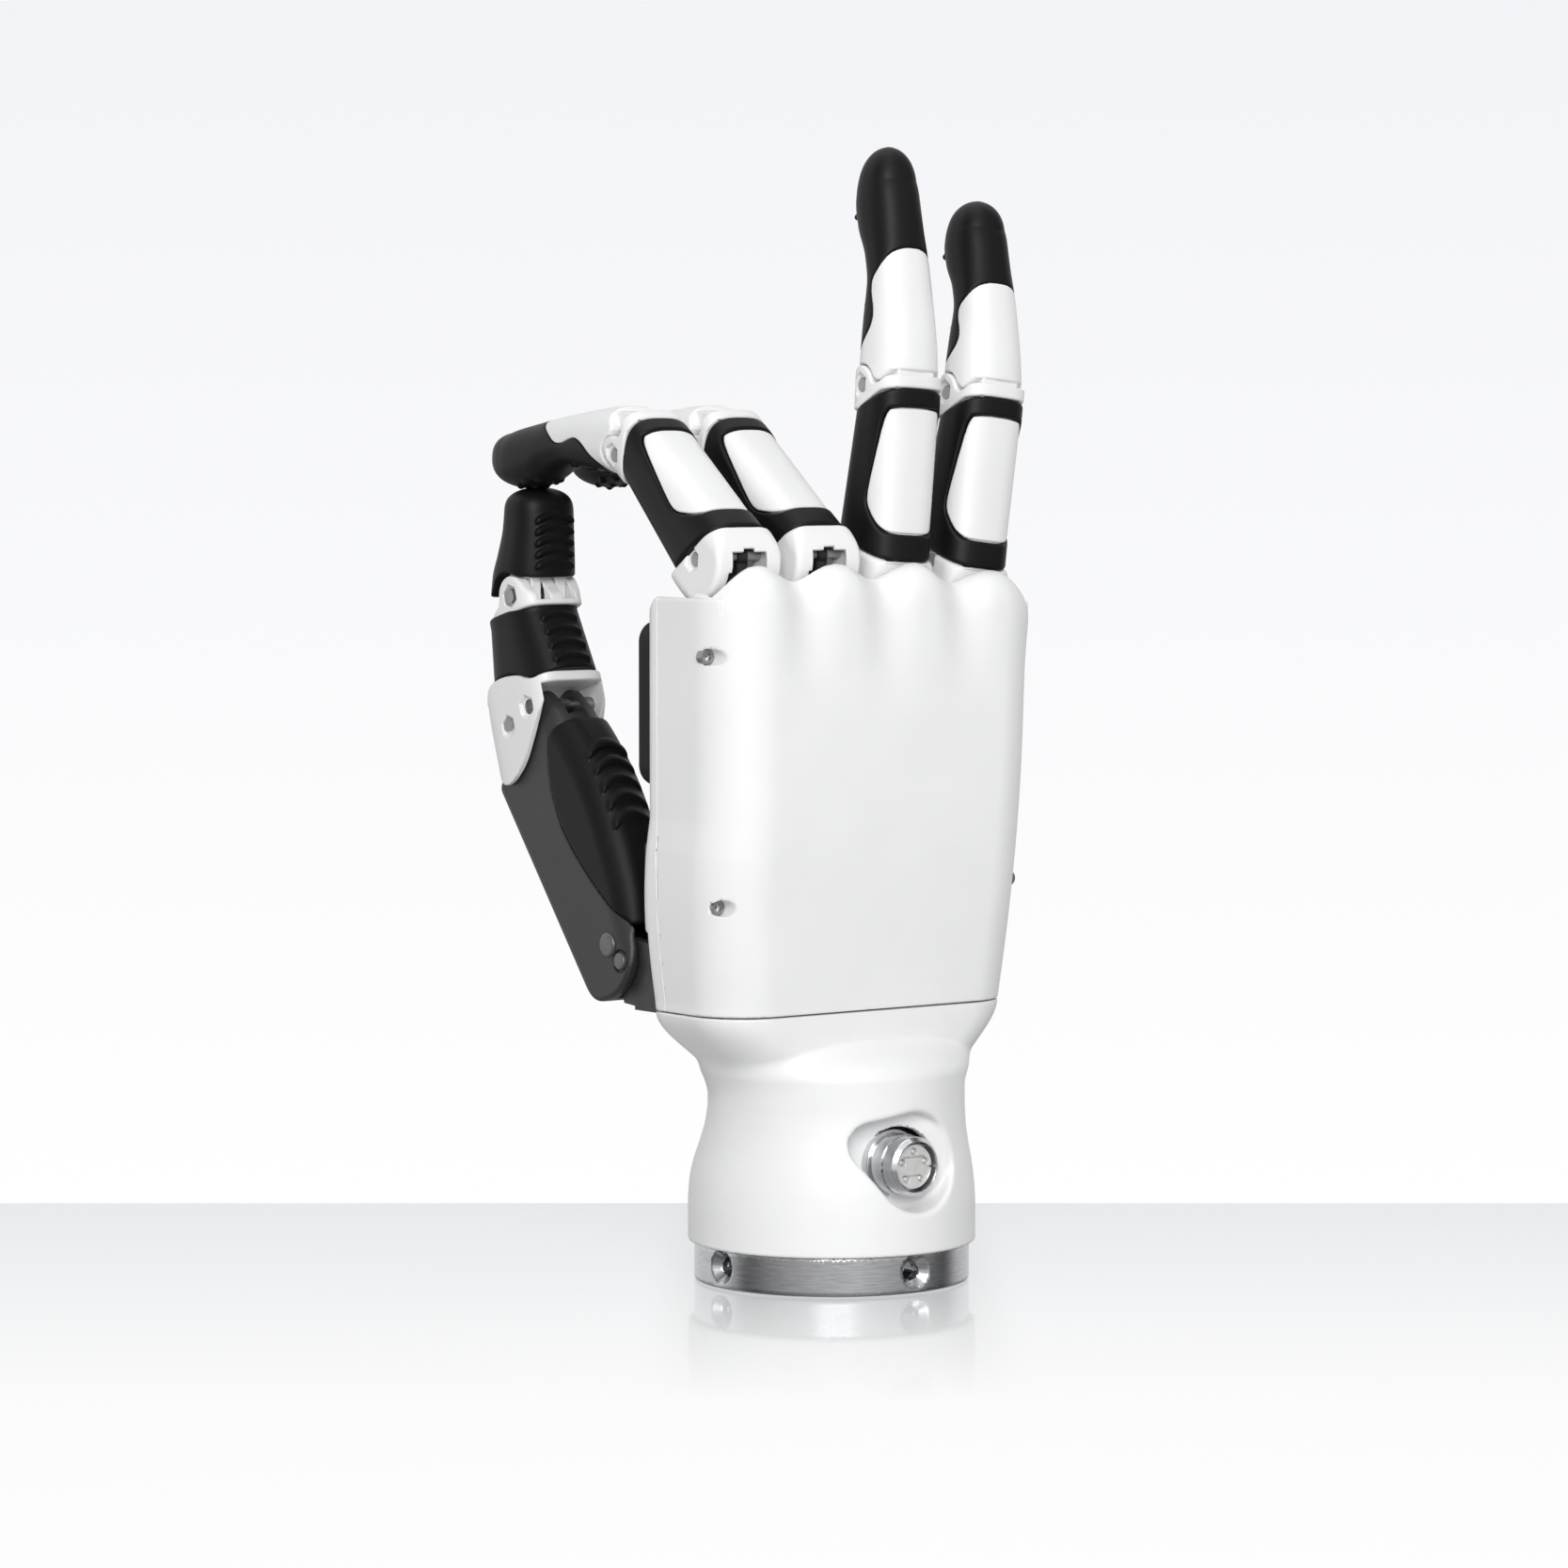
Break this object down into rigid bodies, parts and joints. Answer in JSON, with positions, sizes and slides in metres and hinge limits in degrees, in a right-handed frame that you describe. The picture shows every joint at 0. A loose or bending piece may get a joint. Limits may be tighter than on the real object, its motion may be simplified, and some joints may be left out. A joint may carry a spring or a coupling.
{
  "type": "dexterous robot hand",
  "caption": "Right robot hand with white shells, black rubber pads, four linkage-driven fingers, an opposed thumb and a round wrist flange.",
  "frame": {"origin": "centre of the wrist socket at the lower face of the flange", "axes": "+Z from the wrist to the fingertips, -Y out of the back of the hand, +Y out of the palm, -X towards the thumb side and +X towards the little finger"},
  "size_m": [0.0775, 0.0987, 0.2133],
  "materials": {
    "white_shell": "satin moulded shell",
    "black_rubber": "matte grip rubber",
    "anodised": "bead-blasted and anodised",
    "frame_alloy": "machined",
    "steel": "ground pins and screws",
    "dark_nylon": "glass-filled moulding",
    "grey_housing": "satin moulding",
    "motor_can": "drawn can",
    "board": "laminate with parts"
  },
  "bodies": {
    "palm": {"wrist_flange": "anodised", "wrist_cover": "white_shell", "inlet_barrel": "anodised", "inlet_contacts": "dark_nylon", "hand_frame": "frame_alloy", "back_shell": "white_shell", "palm_shell": "white_shell", "palm_pad": "black_rubber", "shell_screws": "steel", "finger_motors": "motor_can", "lead_screws": "steel", "link_pins": "steel", "control_board": "board", "thumb_mount": "dark_nylon", "thumb_motor": "motor_can"},
    "index_proximal": {"index_frame": "white_shell", "index_sleeve": "black_rubber", "index_cap": "white_shell", "index_pins": "steel"},
    "index_distal": {"index_end": "white_shell", "index_pad": "black_rubber"},
    "index_rod": {"index_rod": "dark_nylon"},
    "index_link": {"index_link": "steel"},
    "middle_proximal": {"middle_frame": "white_shell", "middle_sleeve": "black_rubber", "middle_cap": "white_shell", "middle_pins": "steel"},
    "middle_distal": {"middle_end": "white_shell", "middle_pad": "black_rubber"},
    "middle_rod": {"middle_rod": "dark_nylon"},
    "middle_link": {"middle_link": "steel"},
    "ring_proximal": {"ring_frame": "white_shell", "ring_sleeve": "black_rubber", "ring_cap": "white_shell", "ring_pins": "steel"},
    "ring_distal": {"ring_end": "white_shell", "ring_pad": "black_rubber"},
    "ring_rod": {"ring_rod": "dark_nylon"},
    "ring_link": {"ring_link": "steel"},
    "little_proximal": {"little_frame": "white_shell", "little_sleeve": "black_rubber", "little_cap": "white_shell", "little_pins": "steel"},
    "little_distal": {"little_end": "white_shell", "little_pad": "black_rubber"},
    "little_rod": {"little_rod": "dark_nylon"},
    "little_link": {"little_link": "steel"},
    "thumb_swivel": {"thumb_swivel": "dark_nylon"},
    "thumb_base": {"thumb_root_pin": "steel", "thumb_housing": "grey_housing", "thumb_cover": "black_rubber"},
    "thumb_middle": {"thumb_bracket": "white_shell", "thumb_sleeve": "black_rubber", "thumb_pins": "steel", "thumb_joint_pin": "steel"},
    "thumb_tip": {"thumb_end": "white_shell", "thumb_pad": "black_rubber"}
  },
  "joints": [
    {"name": "index_knuckle", "type": "hinge", "parent": "palm", "child": "index_proximal", "pos_m": [-0.027, -0.0025, 0.1363], "axis": [-1, 0, 0], "range_deg": [-53.5, 0]},
    {"name": "index_middle_joint", "type": "hinge", "parent": "index_proximal", "child": "index_distal", "pos_m": [-0.027, 0.02322, 0.15533], "axis": [-1, 0, 0], "range_deg": [-32.65, 0]},
    {"name": "index_rod_slide", "type": "slide", "parent": "palm", "child": "index_rod", "axis": [0, 0, 1], "range_m": [-0.00398, 0]},
    {"name": "index_link_hinge", "type": "hinge", "parent": "palm", "child": "index_link", "pos_m": [-0.027, 0.00042, 0.13455], "axis": [-1, 0, 0], "range_deg": [-55.45, 0]},
    {"name": "middle_knuckle", "type": "hinge", "parent": "palm", "child": "middle_proximal", "pos_m": [-0.0086, -0.0025, 0.1364], "axis": [-1, 0, 0], "range_deg": [-53.5, 36.5]},
    {"name": "middle_middle_joint", "type": "hinge", "parent": "middle_proximal", "child": "middle_distal", "pos_m": [-0.0086, 0.02322, 0.15543], "axis": [-1, 0, 0], "range_deg": [-32.65, 22.27]},
    {"name": "middle_rod_slide", "type": "slide", "parent": "palm", "child": "middle_rod", "axis": [0, 0, 1], "range_m": [-0.00398, 0.00272]},
    {"name": "middle_link_hinge", "type": "hinge", "parent": "palm", "child": "middle_link", "pos_m": [-0.0086, 0.00042, 0.13465], "axis": [-1, 0, 0], "range_deg": [-55.45, 37.83]},
    {"name": "ring_knuckle", "type": "hinge", "parent": "palm", "child": "ring_proximal", "pos_m": [0.0098, -0.0025, 0.1362], "axis": [-0.9981, 0, 0.061], "range_deg": [0, 90]},
    {"name": "ring_middle_joint", "type": "hinge", "parent": "ring_proximal", "child": "ring_distal", "pos_m": [0.01175, -0.0025, 0.16814], "axis": [-0.9981, 0, 0.061], "range_deg": [0, 54.91]},
    {"name": "ring_rod_slide", "type": "slide", "parent": "palm", "child": "ring_rod", "axis": [0.061, 0, 0.9981], "range_m": [0, 0.00669]},
    {"name": "ring_link_hinge", "type": "hinge", "parent": "palm", "child": "ring_link", "pos_m": [0.00969, 0.00042, 0.13445], "axis": [-0.9981, 0, 0.061], "range_deg": [0, 93.27]},
    {"name": "little_knuckle", "type": "hinge", "parent": "palm", "child": "little_proximal", "pos_m": [0.0282, -0.0025, 0.1346], "axis": [-0.9934, 0, 0.1149], "range_deg": [0, 90]},
    {"name": "little_middle_joint", "type": "hinge", "parent": "little_proximal", "child": "little_distal", "pos_m": [0.03188, -0.0025, 0.16639], "axis": [-0.9934, 0, 0.1149], "range_deg": [0, 54.91]},
    {"name": "little_rod_slide", "type": "slide", "parent": "palm", "child": "little_rod", "axis": [0.1149, 0, 0.9934], "range_m": [0, 0.00669]},
    {"name": "little_link_hinge", "type": "hinge", "parent": "palm", "child": "little_link", "pos_m": [0.028, 0.00042, 0.13286], "axis": [-0.9934, 0, 0.1149], "range_deg": [0, 93.27]},
    {"name": "thumb_yaw", "type": "hinge", "parent": "palm", "child": "thumb_swivel", "pos_m": [-0.025, 0.0142, 0.06], "axis": [0, 0, 1], "range_deg": [0, 62]},
    {"name": "thumb_pitch", "type": "hinge", "parent": "thumb_swivel", "child": "thumb_base", "pos_m": [-0.025, 0.0247, 0.0598], "axis": [1, 0, 0], "range_deg": [-9.5, 0]},
    {"name": "thumb_middle_joint", "type": "hinge", "parent": "thumb_base", "child": "thumb_middle", "pos_m": [-0.025, 0.05362, 0.10681], "axis": [1, 0, 0], "range_deg": [-13.2, 0]},
    {"name": "thumb_tip_joint", "type": "hinge", "parent": "thumb_middle", "child": "thumb_tip", "pos_m": [-0.025, 0.06063, 0.12788], "axis": [1, 0, 0], "range_deg": [-18.4, 0]}
  ],
  "couplings": [
    {"joint": "index_middle_joint", "follows": "index_knuckle", "ratio": 0.61},
    {"joint": "index_rod_slide", "follows": "index_knuckle", "m_per_rad": 0.004255},
    {"joint": "index_link_hinge", "follows": "index_knuckle", "ratio": 1.0362},
    {"joint": "middle_middle_joint", "follows": "middle_knuckle", "ratio": 0.61},
    {"joint": "middle_rod_slide", "follows": "middle_knuckle", "m_per_rad": 0.004255},
    {"joint": "middle_link_hinge", "follows": "middle_knuckle", "ratio": 1.0362},
    {"joint": "ring_middle_joint", "follows": "ring_knuckle", "ratio": 0.61},
    {"joint": "ring_rod_slide", "follows": "ring_knuckle", "m_per_rad": 0.004255},
    {"joint": "ring_link_hinge", "follows": "ring_knuckle", "ratio": 1.0362},
    {"joint": "little_middle_joint", "follows": "little_knuckle", "ratio": 0.61},
    {"joint": "little_rod_slide", "follows": "little_knuckle", "m_per_rad": 0.004255},
    {"joint": "little_link_hinge", "follows": "little_knuckle", "ratio": 1.0362},
    {"joint": "thumb_middle_joint", "follows": "thumb_pitch", "ratio": 1.3884},
    {"joint": "thumb_tip_joint", "follows": "thumb_pitch", "ratio": 1.9358}
  ]
}
